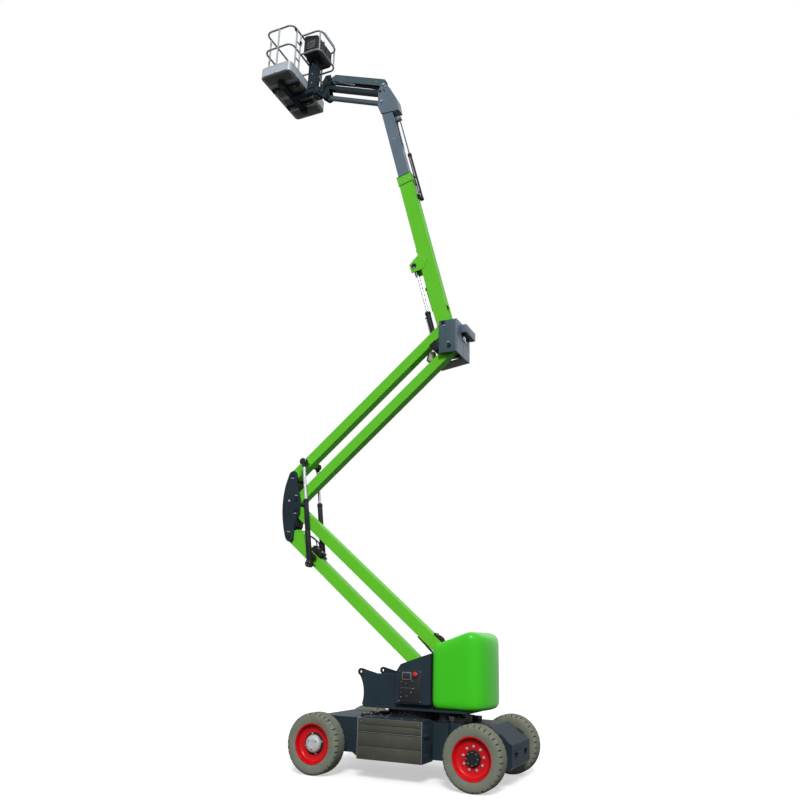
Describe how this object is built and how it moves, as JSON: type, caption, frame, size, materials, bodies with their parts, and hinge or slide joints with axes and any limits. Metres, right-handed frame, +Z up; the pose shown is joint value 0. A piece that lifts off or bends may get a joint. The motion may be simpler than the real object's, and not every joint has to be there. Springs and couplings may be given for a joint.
{
  "type": "articulating boom lift",
  "caption": "Self-propelled articulating boom lift with a slewing turret, folding riser, telescopic boom, jib and work basket, raised in its working pose.",
  "frame": {"origin": "on the ground under the slewing axis, midway between the axles", "axes": "+X towards the steered axle and the counterweight, +Y towards the side away from the ground control panel, +Z up; the boom reaches towards -X"},
  "size_m": [4.404, 1.728, 12.139],
  "materials": {
    "chassis_frame": "satin",
    "battery_box_near": "satin",
    "battery_box_far": "satin",
    "steer_axle": "matte",
    "drive_axle": "matte",
    "slew_ring": "matte",
    "tyre_drive_near": "matte",
    "wheel_drive_near": "glossy",
    "tyre_drive_far": "matte",
    "wheel_drive_far": "glossy",
    "tyre_steer_near": "matte",
    "wheel_steer_near": "glossy",
    "tyre_steer_far": "matte",
    "wheel_steer_far": "glossy",
    "knuckle_near": "matte",
    "knuckle_far": "matte",
    "turret_base": "satin",
    "control_box": "satin",
    "rear_cover": "glossy",
    "lower_arm": "glossy",
    "lower_link": "glossy",
    "mid_knuckle": "satin",
    "upper_arm": "glossy",
    "upper_link": "glossy",
    "lift_barrels": "satin",
    "lift_rods": "polished",
    "top_knuckle": "satin",
    "boom": "glossy",
    "extension_barrel": "satin",
    "boom_lift_barrel": "satin",
    "boom_lift_rod": "polished",
    "level_barrel": "satin",
    "level_rod": "polished",
    "tele_boom": "satin",
    "jib_arm": "satin",
    "jib_link": "satin",
    "jib_strut": "satin",
    "jib_barrel": "satin",
    "jib_rod": "polished",
    "jib_bracket": "satin",
    "basket_support": "satin",
    "basket_floor": "satin",
    "basket_rails": "satin",
    "console": "matte"
  },
  "bodies": {
    "chassis": {"chassis_frame": "chassis_frame", "battery_box_near": "battery_box_near", "battery_box_far": "battery_box_far", "steer_axle": "steer_axle", "drive_axle": "drive_axle", "slew_ring": "slew_ring"},
    "drive_wheel_near": {"tyre_drive_near": "tyre_drive_near", "wheel_drive_near": "wheel_drive_near"},
    "drive_wheel_far": {"tyre_drive_far": "tyre_drive_far", "wheel_drive_far": "wheel_drive_far"},
    "steer_wheel_near": {"tyre_steer_near": "tyre_steer_near", "wheel_steer_near": "wheel_steer_near"},
    "steer_wheel_far": {"tyre_steer_far": "tyre_steer_far", "wheel_steer_far": "wheel_steer_far"},
    "steer_knuckle_near": {"knuckle_near": "knuckle_near"},
    "steer_knuckle_far": {"knuckle_far": "knuckle_far"},
    "turret": {"turret_base": "turret_base", "control_box": "control_box", "rear_cover": "rear_cover"},
    "lower_arm_body": {"lower_arm": "lower_arm"},
    "lower_link_body": {"lower_link": "lower_link"},
    "mid_knuckle_body": {"mid_knuckle": "mid_knuckle"},
    "upper_arm_body": {"upper_arm": "upper_arm"},
    "upper_link_body": {"upper_link": "upper_link"},
    "lift_barrel_body": {"lift_barrels": "lift_barrels"},
    "lift_rod_body": {"lift_rods": "lift_rods"},
    "top_knuckle_body": {"top_knuckle": "top_knuckle"},
    "boom_body": {"boom": "boom", "extension_barrel": "extension_barrel"},
    "boom_lift_barrel_body": {"boom_lift_barrel": "boom_lift_barrel"},
    "boom_lift_rod_body": {"boom_lift_rod": "boom_lift_rod"},
    "level_barrel_body": {"level_barrel": "level_barrel"},
    "level_rod_body": {"level_rod": "level_rod"},
    "telescope_body": {"tele_boom": "tele_boom"},
    "jib_arm_body": {"jib_arm": "jib_arm"},
    "jib_link_body": {"jib_link": "jib_link"},
    "jib_strut_body": {"jib_strut": "jib_strut"},
    "jib_barrel_body": {"jib_barrel": "jib_barrel"},
    "jib_rod_body": {"jib_rod": "jib_rod"},
    "jib_bracket_body": {"jib_bracket": "jib_bracket"},
    "basket_body": {"basket_support": "basket_support", "basket_floor": "basket_floor", "basket_rails": "basket_rails", "console": "console"}
  },
  "joints": [
    {"name": "drive_wheel_near_spin", "type": "hinge", "parent": "chassis", "child": "drive_wheel_near", "pos_m": [-1.029, -0.7425, 0.355], "axis": [0, 1, 0], "continuous": true},
    {"name": "drive_wheel_far_spin", "type": "hinge", "parent": "chassis", "child": "drive_wheel_far", "pos_m": [-1.029, 0.7425, 0.355], "axis": [0, 1, 0], "continuous": true},
    {"name": "steer_near", "type": "hinge", "parent": "chassis", "child": "steer_knuckle_near", "pos_m": [1.029, -0.56, 0.355], "axis": [0, 0, 1], "range_deg": [-32, 32]},
    {"name": "steer_far", "type": "hinge", "parent": "chassis", "child": "steer_knuckle_far", "pos_m": [1.029, 0.56, 0.355], "axis": [0, 0, 1], "range_deg": [-32, 32]},
    {"name": "steer_wheel_near_spin", "type": "hinge", "parent": "steer_knuckle_near", "child": "steer_wheel_near", "pos_m": [1.029, -0.7425, 0.355], "axis": [0, 1, 0], "continuous": true},
    {"name": "steer_wheel_far_spin", "type": "hinge", "parent": "steer_knuckle_far", "child": "steer_wheel_far", "pos_m": [1.029, 0.7425, 0.355], "axis": [0, 1, 0], "continuous": true},
    {"name": "turret_slew", "type": "hinge", "parent": "chassis", "child": "turret", "pos_m": [0, 0, 0.78], "axis": [0, 0, 1], "range_deg": [-178, 178]},
    {"name": "riser", "type": "hinge", "parent": "turret", "child": "lower_arm_body", "pos_m": [0.247, 0, 1.114], "axis": [0, 1, 0], "range_deg": [-37, 13]},
    {"name": "lower_link_hinge", "type": "hinge", "parent": "turret", "child": "lower_link_body", "pos_m": [0.342, 0, 1.485], "axis": [0, 1, 0], "range_deg": [-37, 13]},
    {"name": "mid_knuckle_hinge", "type": "hinge", "parent": "lower_arm_body", "child": "mid_knuckle_body", "pos_m": [-2.05244, 0, 3.00951], "axis": [0, 1, 0], "range_deg": [-13, 37]},
    {"name": "upper_arm_hinge", "type": "hinge", "parent": "mid_knuckle_body", "child": "upper_arm_body", "pos_m": [-1.95744, 0, 3.54001], "axis": [0, -1, 0], "range_deg": [-37, 13]},
    {"name": "upper_link_hinge", "type": "hinge", "parent": "mid_knuckle_body", "child": "upper_link_body", "pos_m": [-2.05244, 0, 3.91101], "axis": [0, -1, 0], "range_deg": [-37, 13]},
    {"name": "top_knuckle_hinge", "type": "hinge", "parent": "upper_arm_body", "child": "top_knuckle_body", "pos_m": [0.4614, 0, 5.64268], "axis": [0, 1, 0], "range_deg": [-37, 13]},
    {"name": "lift_barrel_hinge", "type": "hinge", "parent": "lower_arm_body", "child": "lift_barrel_body", "pos_m": [-1.61499, 0, 2.588], "axis": [0, 1, 0], "range_deg": [-10.04, 27.83]},
    {"name": "lift_rod_slide", "type": "slide", "parent": "lift_barrel_body", "child": "lift_rod_body", "axis": [-0.1373, 0, 0.9905], "range_m": [-0.47, 0.168]},
    {"name": "boom_lift", "type": "hinge", "parent": "top_knuckle_body", "child": "boom_body", "pos_m": [0.3664, 0, 6.01368], "axis": [0, -1, 0], "range_deg": [-3, 72]},
    {"name": "boom_lift_barrel_hinge", "type": "hinge", "parent": "top_knuckle_body", "child": "boom_lift_barrel_body", "pos_m": [0.19, 0, 5.77], "axis": [0, -1, 0], "range_deg": [-3.24, 68.49]},
    {"name": "boom_lift_rod_slide", "type": "slide", "parent": "boom_lift_barrel_body", "child": "boom_lift_rod_body", "axis": [-0.255, 0, 0.9669], "range_m": [-0.354, 0.019]},
    {"name": "level_barrel_hinge", "type": "hinge", "parent": "boom_body", "child": "level_barrel_body", "pos_m": [0.04427, 0, 6.66293], "axis": [0, -1, 0], "range_deg": [-0.49, 2.56]},
    {"name": "level_rod_slide", "type": "slide", "parent": "level_barrel_body", "child": "level_rod_body", "axis": [0.2746, 0, -0.9616], "range_m": [-0.173, 0.011]},
    {"name": "telescope", "type": "slide", "parent": "boom_body", "child": "telescope_body", "axis": [-0.2554, 0, 0.9668], "range_m": [-0.74, 0.12]},
    {"name": "jib_lift", "type": "hinge", "parent": "telescope_body", "child": "jib_arm_body", "pos_m": [-0.805, 0, 10.663], "axis": [0, 1, 0], "range_deg": [-42, 30]},
    {"name": "jib_link_hinge", "type": "hinge", "parent": "telescope_body", "child": "jib_link_body", "pos_m": [-0.868, 0, 10.545], "axis": [0, 1, 0], "range_deg": [-42, 30]},
    {"name": "jib_strut_hinge", "type": "hinge", "parent": "telescope_body", "child": "jib_strut_body", "pos_m": [-0.83, 0, 10.326], "axis": [0, 1, 0], "range_deg": [-42, 30]},
    {"name": "jib_bracket_hinge", "type": "hinge", "parent": "jib_arm_body", "child": "jib_bracket_body", "pos_m": [-1.90263, 0, 11.13799], "axis": [0, 1, 0], "range_deg": [-30, 42]},
    {"name": "jib_barrel_hinge", "type": "hinge", "parent": "telescope_body", "child": "jib_barrel_body", "pos_m": [-0.775, 0, 10.603], "axis": [0, 1, 0], "range_deg": [-39.49, 28.32]},
    {"name": "jib_rod_slide", "type": "slide", "parent": "jib_barrel_body", "child": "jib_rod_body", "axis": [-0.8925, 0, 0.451], "range_m": [-0.064, 0.047]},
    {"name": "basket_rotate", "type": "hinge", "parent": "jib_bracket_body", "child": "basket_body", "pos_m": [-2.2, 0, 11], "axis": [0, 0, 1], "range_deg": [-85, 85]}
  ],
  "couplings": [
    {"joint": "steer_far", "follows": "steer_near", "ratio": 1},
    {"joint": "lower_link_hinge", "follows": "riser", "ratio": 1},
    {"joint": "mid_knuckle_hinge", "follows": "riser", "ratio": -1},
    {"joint": "upper_arm_hinge", "follows": "riser", "ratio": 1},
    {"joint": "upper_link_hinge", "follows": "riser", "ratio": 1},
    {"joint": "top_knuckle_hinge", "follows": "riser", "ratio": 1},
    {"joint": "lift_barrel_hinge", "follows": "riser", "ratio": -0.74133},
    {"joint": "lift_rod_slide", "follows": "riser", "m_per_rad": 0.72212},
    {"joint": "boom_lift_barrel_hinge", "follows": "boom_lift", "ratio": 0.94574},
    {"joint": "boom_lift_rod_slide", "follows": "boom_lift", "m_per_rad": -0.27875},
    {"joint": "level_barrel_hinge", "follows": "boom_lift", "ratio": 0.03},
    {"joint": "level_rod_slide", "follows": "boom_lift", "m_per_rad": -0.13488},
    {"joint": "jib_link_hinge", "follows": "jib_lift", "ratio": 1},
    {"joint": "jib_strut_hinge", "follows": "jib_lift", "ratio": 1},
    {"joint": "jib_bracket_hinge", "follows": "jib_lift", "ratio": -1},
    {"joint": "jib_barrel_hinge", "follows": "jib_lift", "ratio": 0.93067},
    {"joint": "jib_rod_slide", "follows": "jib_lift", "m_per_rad": 0.082159}
  ]
}
